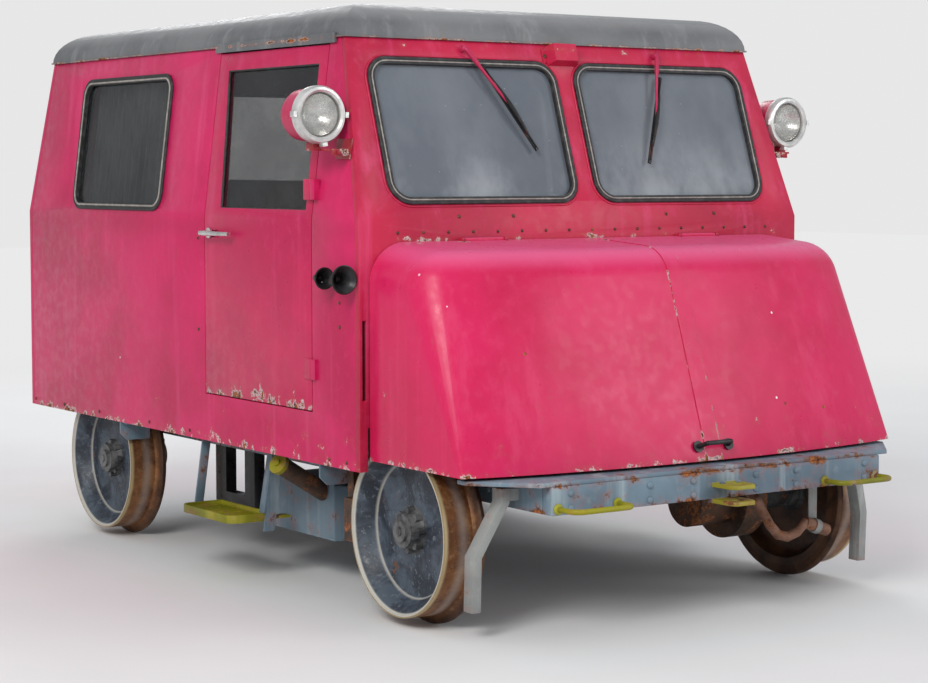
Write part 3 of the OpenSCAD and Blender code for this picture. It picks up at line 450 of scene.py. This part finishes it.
def tube(bm, pts, r, seg=10, closed=False):
    pts = [Vector(p) for p in pts]
    n = len(pts)
    rr = r if isinstance(r, (list, tuple)) else [r] * n
    tang = []
    for i in range(n):
        a = pts[(i - 1) % n] if (closed or i > 0) else pts[i]
        b = pts[(i + 1) % n] if (closed or i < n - 1) else pts[i]
        tang.append((b - a).normalized())
    ref = Vector((0, 0, 1)) if abs(tang[0].z) < 0.9 else Vector((1, 0, 0))
    u = tang[0].cross(ref).normalized()
    rings = []
    for i in range(n):
        t = tang[i]
        u = (u - t * u.dot(t)).normalized()
        v = t.cross(u)
        rings.append([bm.verts.new(pts[i] + (u * math.cos(k * 2 * math.pi / seg) + v * math.sin(k * 2 * math.pi / seg)) * rr[i]) for k in range(seg)])
    for i in range(n if closed else n - 1):
        a, b = rings[i], rings[(i + 1) % n]
        for k in range(seg):
            bm.faces.new((a[k], a[(k + 1) % seg], b[(k + 1) % seg], b[k]))
    if not closed:
        bm.faces.new(rings[0])
        bm.faces.new(list(reversed(rings[-1])))


def lathe(bm, prof, M, seg=48):
    """prof: list of (r, h); h runs along M's local z."""
    rings = []
    for r, h in prof:
        if r < 1e-6:
            rings.append([bm.verts.new(M @ Vector((0, 0, h)))])
        else:
            rings.append([bm.verts.new(M @ Vector((r * math.cos(2 * math.pi * k / seg), r * math.sin(2 * math.pi * k / seg), h))) for k in range(seg)])
    for a, b in zip(rings, rings[1:]):
        for k in range(seg):
            if len(a) == 1 and len(b) == 1:
                continue
            if len(a) == 1:
                bm.faces.new((a[0], b[k], b[(k + 1) % seg]))
            elif len(b) == 1:
                bm.faces.new((a[k], b[0], a[(k + 1) % seg]))
            else:
                bm.faces.new((a[k], b[k], b[(k + 1) % seg], a[(k + 1) % seg]))


def basis(pos, n, up=(0, 0, 1)):
    n = Vector(n).normalized()
    up = Vector(up)
    if abs(n.dot(up)) > 0.95:
        up = Vector((0, 1, 0))
    x = up.cross(n).normalized()
    y = n.cross(x)
    M = Matrix((x, y, n)).transposed().to_4x4()
    M.translation = Vector(pos)
    return M


def dome(bm, pos, n, r, h, seg=12):
    lathe(bm, [(0, -0.0006), (r, -0.0006), (r, h * 0.25), (r * 0.86, h * 0.62), (r * 0.5, h * 0.93), (0, h)], basis(pos, n), seg)


def bar(bm, M, x0, x1, y0, y1, z0, z1, bev=0.0008):
    g = bmesh.ops.create_cube(bm, size=1.0)
    vs = g["verts"]
    S = Matrix.Diagonal(((x1 - x0), (y1 - y0), (z1 - z0), 1))
    T = Matrix.Translation(((x0 + x1) / 2, (y0 + y1) / 2, (z0 + z1) / 2))
    es = list({e for v in vs for e in v.link_edges})
    bmesh.ops.transform(bm, matrix=T @ S, verts=vs)
    if bev:
        r = bmesh.ops.bevel(bm, geom=es, offset=bev, segments=2, affect="EDGES", profile=0.6)
        vs = list({v for f in r["faces"] for v in f.verts} | {v for v in vs if v.is_valid})
    bmesh.ops.transform(bm, matrix=M, verts=[v for v in vs if v.is_valid])


SF = math.atan(185 / 546)
SS = math.atan(70 / 546)
FO, FU, FN = Vector((0, -0.873, 1.170)), Vector((0, math.sin(SF), math.cos(SF))), Vector((0, -math.cos(SF), math.sin(SF)))


def FP(x, v, w=0.0):
    return FO + Vector((x, 0, 0)) + FU * v + FN * w


def SP(side, y, v, w=0.0):
    return Vector((side * (0.852 - math.sin(SS) * v + math.cos(SS) * w), y, 1.170 + math.cos(SS) * v + math.sin(SS) * w))


SR = math.atan(88 / 546)


def RP(x, v, w=0.0):
    return Vector((x, 1.495 - math.sin(SR) * v + math.cos(SR) * w, 1.170 + math.cos(SR) * v + math.sin(SR) * w))


def rrect_pts(w, h, r, per=9):
    pts = []
    for cx, cy, a0 in ((w / 2 - r, h / 2 - r, 0), (-w / 2 + r, h / 2 - r, 90), (-w / 2 + r, -h / 2 + r, 180), (w / 2 - r, -h / 2 + r, 270)):
        for i in range(per):
            a = rad(a0 + 90 * i / (per - 1))
            pts.append((cx + r * math.cos(a), cy + r * math.sin(a)))
    out = []
    for i, p in enumerate(pts):
        q = pts[(i + 1) % len(pts)]
        out.append(p)
        d = math.hypot(q[0] - p[0], q[1] - p[1])
        k = int(d / 0.05)
        for j in range(1, k):
            out.append((p[0] + (q[0] - p[0]) * j / k, p[1] + (q[1] - p[1]) * j / k))
    return out


# pale cord along the window rubbers as a painted highlight, and a rounded outer lip
bm = bmesh.new()
bl = bmesh.new()
for s in (-1, 1):
    tube(bm, [FP(s * 0.383 + a, 0.283 + b, 0.0062) for a, b in rrect_pts(0.700 - 0.026, 0.464 - 0.026, 0.061)], 0.0022, 8, True)
    tube(bl, [FP(s * 0.383 + a, 0.283 + b, 0.0035) for a, b in rrect_pts(0.700 - 0.008, 0.464 - 0.008, 0.070)], 0.0044, 8, True)
    tube(bm, [SP(s, 0.753 + a, 0.247 + b, 0.0062) for a, b in rrect_pts(0.706 - 0.030, 0.466 - 0.030, 0.047)], 0.0034, 8, True)
    tube(bl, [SP(s, 0.753 + a, 0.247 + b, 0.0035) for a, b in rrect_pts(0.706 - 0.006, 0.466 - 0.006, 0.059)], 0.0044, 8, True)
tube(bl, [RP(a, 0.262 + b, 0.0035) for a, b in rrect_pts(1.120 - 0.008, 0.420 - 0.008, 0.066)], 0.0044, 8, True)
add("seal_highlight_cord", bm, m_seal_highlight, "chassis")
add("seal_lips", bl, m_rub, "chassis")

# bead of sheet metal raised round the windscreens
bm = bmesh.new()
for s in (-1, 1):
    tube(bm, [FP(s * 0.383 + a, 0.283 + b, 0.0) for a, b in rrect_pts(0.700 + 0.012, 0.464 + 0.012, 0.080)], 0.0034, 8, True)
add("windscreen_beads", bm, m_wall, "chassis")

# door frame: rubber round the pane
for s, nm in ((-1, "right"), (1, "left")):
    bm = bmesh.new()
    corner = [(-0.560, 1.200), (-0.019, 1.200), (0.021, 1.641), (-0.549, 1.641)]
    pts = []
    for i in range(4):
        a, b = corner[i], corner[(i + 1) % 4]
        for j in range(8):
            t = j / 8
            pts.append((a[0] + (b[0] - a[0]) * t, a[1] + (b[1] - a[1]) * t))
    tube(bm, [SP(s, y, (z - 1.170) / math.cos(SS), -0.006) for y, z in pts], 0.0055, 8, True)
    add("door_pane_rubber_" + nm, bm, m_rub, nm + "_door")

# screws and rivets
bm = bmesh.new()
for s in (-1, 1):
    for i in range(24):
        y = -0.66 + i * 0.088
        dome(bm, (s * 0.7865, y, 1.7185), (s, 0, 0), 0.0035, 0.0022)
    for y, z in ((-0.8, 0.46), (-0.7, 0.46), (0.2, 0.46), (0.5, 0.46), (0.9, 0.46), (1.2, 0.46), (1.46, 0.46), (0.13, 0.8), (0.13, 1.1), (-0.761, 0.930), (-0.762, 0.858)):
        dome(bm, (s * 0.852, y, z), (s, 0, 0), 0.006, 0.0035)
for i in range(17):
    x = -0.72 + i * 0.09
    dome(bm, (x, -0.6925, 1.7185), (0, -1, 0), 0.0035, 0.0022)
    dome(bm, (x, -0.873, 1.136), (0, -1, 0), 0.005, 0.0030)
for x in (-0.5, -0.3, 0.3, 0.5):
    dome(bm, FP(x, 0.012, 0.0), FN, 0.006, 0.0035)
for s in (-1, 1):
    dome(bm, FP(s * 0.063, 0.534, 0.0043), FN, 0.007, 0.004)
add("cab_screws", bm, m_brown, "chassis")

# rivets and bolts along the beams
bm = bmesh.new()
for s in (-1, 1):
    for x in (-0.56, -0.28, -0.12, 0.12, 0.28, 0.56):
        dome(bm, (x, s * 1.505, 0.43), (0, s, 0), 0.010, 0.007, 14)
        dome(bm, (x, s * 1.505, 0.388), (0, s, 0), 0.010, 0.007, 14)
    for x in (-0.03, 0.03):
        dome(bm, (x, s * 1.53, 0.418), (0, 0, 1), 0.009, 0.006, 14)
    for y in (-1.2, -0.6, -0.1, 0.4, 0.8, 1.3):
        dome(bm, (s * 0.624, y, 0.411), (s, 0, 0), 0.009, 0.006, 14)
add("frame_rivets", bm, m_frame, "chassis")

# lifting handles bent from round bar, welded to round feet
bm = bmesh.new()
for cx in (-0.5, 0.5):
    for s in (-1, 1):
        path = [(-0.104, 1.505), (-0.104, 1.552)]
        for k in range(1, 6):
            a = rad(18 * k)
            path.append((-0.104 + 0.031 * (1 - math.cos(a)), 1.554 + 0.031 * math.sin(a)))
        path += [(-0.04, 1.585), (0.04, 1.585)] + [(-a, b) for a, b in reversed(path)]
        tube(bm, [(cx + a, s * b, 0.389) for a, b in path], 0.008, 16)
        for k in (-1, 1):
            lathe(bm, [(0, 0.0), (0.0155, 0.0), (0.0155, 0.003), (0.012, 0.006), (0.0085, 0.008), (0, 0.008)], basis((cx + k * 0.104, s * 1.505, 0.389), (0, s, 0)), 24)
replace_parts(add("lifting_handle_bars", bm, m_yel, "chassis"), "lifting_handles")

# black plates set behind the two finger slots beside the bonnet, painted shade for their insides
bm = bmesh.new()
I4 = Matrix.Identity(4)
for s in (-1, 1):
    bar(bm, I4, s * 0.835 - 0.0065, s * 0.835 + 0.0065, -0.8625, -0.8592, 0.6485, 0.8815, 0.0004)
add("finger_slot_painted_shade", bm, m_black, "chassis")

# ------------------------------------------------------------------ wipers
for s, nm, px, a, b in ((-1, "right", -0.374, 34.8, -6.3), (1, "left", 0.382, -14.4, -7.6)):
    V = 0.546 / math.cos(SF) - 0.031
    M = Matrix((Vector((1, 0, 0)), FU, FN)).transposed().to_4x4()
    M.translation = FP(px, V)
    M = M @ Matrix.Rotation(rad(a), 4, "Z")
    ba, bb = bmesh.new(), bmesh.new()
    lathe(ba, [(0, 0.0006), (0.0085, 0.0006), (0.0095, 0.004), (0.0095, 0.017), (0.008, 0.022), (0.003, 0.024), (0, 0.024)], M, 24)
    # tapering arm, thicker at its spring housing
    tube(ba, [M @ Vector(p) for p in ((0, 0.014, 0.020), (0, -0.02, 0.0215), (0, -0.06, 0.0212), (0, -0.075, 0.0205), (0, -0.15, 0.0200), (0, -0.215, 0.0205), (0, -0.232, 0.0215))],
         [0.005, 0.0075, 0.0075, 0.0052, 0.0046, 0.0042, 0.0036], 10)
    add("wiper_arm_" + nm, ba, m_red, nm + "_wiper")
    Mb = M @ Matrix.Translation((0, -0.228, 0.0)) @ Matrix.Rotation(rad(b), 4, "Z")
    arch = [(0, -0.098 + i * 0.0196, 0.0165 + 0.0065 * (1 - (abs(i - 5) / 5) ** 2)) for i in range(11)]
    tube(bb, [Mb @ Vector(p) for p in arch], [0.0044 + 0.0026 * (1 - abs(i - 5) / 5) for i in range(11)], 8)
    for c in (-0.098, 0.098):
        tube(bb, [Mb @ Vector((0, c + (i - 4) * 0.0125, 0.0145 + 0.0035 * (1 - (abs(i - 4) / 4) ** 2))) for i in range(9)], 0.0022, 8)
        for k in (-0.05, 0.05):
            bar(bb, Mb, -0.0042, 0.0042, c + k - 0.004, c + k + 0.004, 0.0105, 0.0155, 0.0006)
    bar(bb, Mb, -0.0055, 0.0055, -0.158, 0.158, 0.0112, 0.0142, 0.0006)
    bar(bb, Mb, -0.0065, 0.0065, -0.158, 0.158, 0.0082, 0.0114, 0.0010)
    bar(bb, Mb, -0.0009, 0.0009, -0.158, 0.158, 0.0072, 0.0094, 0.0003)
    bl = add("wiper_blade_" + nm, bb, m_black, nm + "_wiper")
    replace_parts(bl, "wiper_" + nm)

# --------------------------------------------------------------- headlamps
for s, nm in ((-1, "right"), (1, "left")):
    M = basis((s * 0.916, -0.765, 1.481), (0, -1, 0))
    bm = bmesh.new()
    prof = [(0.0610, -0.0050)] + [(0.060 * math.sqrt(max(0.0, 1 - i / 10)) + 0.001, -0.006 - i * 0.0052) for i in range(1, 11)] + [(0, -0.0585)]
    prof += [(0.004, -0.060)] + [(0.0615 * math.sqrt(max(0.0, 1 - i / 10)) + 0.002, -0.0075 - i * 0.0052) for i in range(9, 0, -1)] + [(0.0625, -0.0062), (0.0610, -0.0050)]
    lathe(bm, prof[:12], M, 48)
    add("lamp_reflector_" + nm, bm, m_bright, "chassis")
    bm = bmesh.new()
    lathe(bm, [(0, 0.0), (0.007, -0.002), (0.0105, -0.009), (0.0105, -0.019), (0.007, -0.027), (0.007, -0.052), (0, -0.054)], M, 24)
    add("lamp_bulb_" + nm, bm, m_lens, "chassis")
    bm = bmesh.new()
    for r in (0.018, 0.030, 0.042):
        tube(bm, [M @ Vector((r * math.cos(k * rad(10)), r * math.sin(k * rad(10)), 0.0092 - r * r * 3.4)) for k in range(36)], 0.0007, 6, True)
    add("lamp_lens_rings_" + nm, bm, m_lens, "chassis")

# --------------------------------------------------------------- curtains
for s, nm in ((-1, "right"), (1, "left")):
    bm = bmesh.new()
    nu, nv = 220, 14
    y0, y1 = 0.425, 1.081
    waves = 15
    grid, length, prev = [], 0.0, None
    for i in range(nu + 1):
        t = i / nu
        y = y0 + (y1 - y0) * t
        off = 0.011 * math.sin(2 * math.pi * waves * t + 0.8 * math.sin(9 * t)) + 0.003 * math.sin(51 * t)
        if prev is not None:
            length += math.hypot(y - prev[0], off - prev[1])
        prev = (y, off)
        col = []
        for j in range(nv + 1):
            q = j / nv
            col.append(bm.verts.new(SP(s, y + 0.003 * math.sin(7 * q + 20 * t), 0.022 + 0.452 * q, -0.055 + off)))
        grid.append(col)
    for i in range(nu):
        for j in range(nv):
            bm.faces.new((grid[i][j], grid[i + 1][j], grid[i + 1][j + 1], grid[i][j + 1]))
    cur = add("curtain_" + nm, bm, m_curtain, "chassis")
    so = cur.modifiers.new("cloth_thickness", "SOLIDIFY")
    so.thickness = 0.0012
    so.offset = 0
    bm = bmesh.new()
    tube(bm, [SP(s, 0.40 + 0.035 * i, 0.478, -0.050) for i in range(21)], 0.0028, 8)
    for y in (0.402, 1.098):
        tube(bm, [SP(s, y, 0.478, -0.050), SP(s, y, 0.479, -0.0245)], 0.004, 8)
    add("curtain_rod_" + nm, bm, m_bright, "chassis")


# ------------------------------------------------------------------- seats
def pad(name, lo, hi, thick_axis, grooves):
    """Crowned upholstered slab: sides pulled in between corners, sewn channels across it."""
    lo, hi = Vector(lo), Vector(hi)
    c, h = (lo + hi) / 2, (hi - lo) / 2
    ax = [0, 1, 2]
    t = {"y": 1, "z": 2}[thick_axis]
    u, v = [a for a in ax if a != t]
    bm = bmesh.new()
    nu, nv, nw = 96, 36, 10
    verts = {}

    def key(i, j, k):
        return (i, j, k)

    def vert(i, j, k):
        if (i, j, k) in verts:
            return verts[(i, j, k)]
        a, b, w = -1 + 2 * i / nu, -1 + 2 * j / nv, -1 + 2 * k / nw
        p = [0.0, 0.0, 0.0]
        r = min(h[t] * 0.8, 0.035)
        q = {u: a * h[u], v: b * h[v], t: w * h[t]}
        inner = {m: max(-h[m] + r, min(h[m] - r, q[m])) for m in q}
        d = Vector((q[u] - inner[u], q[v] - inner[v], q[t] - inner[t]))
        if d.length > 1e-9:
            d = d.normalized() * min(r, max(abs(d.x), abs(d.y), abs(d.z)))
        q = {u: inner[u] + d.x, v: inner[v] + d.y, t: inner[t] + d.z}
        front = 1 if thick_axis == "z" else -1
        if w * front > 0:
            crown = (1 - a * a) ** 0.35 * (1 - b * b) ** 0.35 if abs(a) < 1 and abs(b) < 1 else 0
            q[t] -= front * 0.014 * (1 - crown) * abs(w)
            for gpos in grooves:
                q[t] -= front * 0.010 * abs(w) * math.exp(-(((a * h[u] - gpos) / 0.009) ** 2)) * max(0.0, 1 - b ** 8)
        q[u] -= math.copysign(0.008, a) * abs(a) ** 6 * (1 - b * b)
        q[v] -= math.copysign(0.008, b) * abs(b) ** 6 * (1 - a * a)
        for m in (u, v, t):
            p[m] = c[m] + q[m]
        verts[(i, j, k)] = bm.verts.new(p)
        return verts[(i, j, k)]

    for i in range(nu):
        for j in range(nv):
            for k in (0, nw):
                bm.faces.new((vert(i, j, k), vert(i + 1, j, k), vert(i + 1, j + 1, k), vert(i, j + 1, k)))
    for i in range(nu):
        for k in range(nw):
            for j in (0, nv):
                bm.faces.new((vert(i, j, k), vert(i + 1, j, k), vert(i + 1, j, k + 1), vert(i, j, k + 1)))
    for j in range(nv):
        for k in range(nw):
            for i in (0, nu):
                bm.faces.new((vert(i, j, k), vert(i, j + 1, k), vert(i, j + 1, k + 1), vert(i, j, k + 1)))
    o = add(name, bm, m_seat, "chassis")
    return o


cushions, backs = [], []
for i, y in enumerate((-0.060, 0.860)):
    g = [-0.48, -0.32, -0.16, 0.0, 0.16, 0.32, 0.48]
    cushions.append(pad("bench_cushion_%d" % (i + 1), (-0.640, y, 0.8205), (0.640, y + 0.350, 0.910), "z", g))
    backs.append(pad("bench_back_%d" % (i + 1), (-0.640, y + 0.355, 0.915), (0.640, y + 0.4395, 1.290), "y", g))
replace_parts(cushions[0], "seat_cushions")
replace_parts(backs[0], "seat_backs")

# ------------------------------------------------------------ stage, lights
floor = bpy.data.objects.new("floor", bpy.data.meshes.new("floor"))
bm = bmesh.new()
bmesh.ops.create_grid(bm, x_segments=2, y_segments=2, size=30)
bm.to_mesh(floor.data)
bm.free()
SC.collection.objects.link(floor)
gf = Mat("floor_pale")
fx = gf.xyz()
far = gf.math("SQRT", gf.math("ADD", gf.math("MULTIPLY", fx[0], fx[0]), gf.math("MULTIPLY", fx[1], fx[1])))
far = gf.rng(far, 2.6, 9.0)
gf.link(gf.mix(far, gf.mix(gf.rng(gf.noise(0.8, 3), 0.3, 0.7), (0.76, 0.76, 0.76), (0.80, 0.80, 0.80)), (0.0, 0.0, 0.0)), gf.p.inputs["Base Color"])
gf.p.inputs["Emission Color"].default_value = (0.80, 0.80, 0.80, 1)
gf.link(far, gf.p.inputs["Emission Strength"])
gf.p.inputs["Specular IOR Level"].default_value = 0.1
gf.p.inputs["Roughness"].default_value = 0.9
floor.data.materials.append(gf.m)

world = bpy.data.worlds.new("world")
SC.world = world
world.use_nodes = True
bg = world.node_tree.nodes["Background"]
bg.inputs[0].default_value = (0.93, 0.96, 1.0, 1)
bg.inputs[1].default_value = 0.60
sky = world.node_tree.nodes.new("ShaderNodeBackground")
sky.inputs[0].default_value = (0.80, 0.80, 0.80, 1)
sky.inputs[1].default_value = 1.0
ray = world.node_tree.nodes.new("ShaderNodeLightPath")
both = world.node_tree.nodes.new("ShaderNodeMixShader")
world.node_tree.links.new(ray.outputs["Is Camera Ray"], both.inputs[0])
world.node_tree.links.new(bg.outputs[0], both.inputs[1])
world.node_tree.links.new(sky.outputs[0], both.inputs[2])
world.node_tree.links.new(both.outputs[0], world.node_tree.nodes["World Output"].inputs[0])


def area(name, loc, target, size, power, color=(1, 1, 1)):
    L = bpy.data.lights.new(name, "AREA")
    L.shape = "DISK"
    L.size = size
    L.energy = power
    L.color = color
    o = bpy.data.objects.new(name, L)
    SC.collection.objects.link(o)
    o.location = loc
    o.rotation_euler = (Vector(target) - Vector(loc)).to_track_quat("-Z", "Y").to_euler()


area("key", (-6.5, -5.0, 5.5), (0, 0, 0.9), 3.5, 440, (1.0, 0.98, 0.95))
area("fill", (4.5, -7.5, 3.5), (0, -0.6, 0.9), 4.0, 170, (0.97, 0.98, 1.0))
area("rim", (3.0, 6.5, 5.0), (0, 0, 1.0), 4.0, 200)
SC.view_settings.view_transform = "Standard"
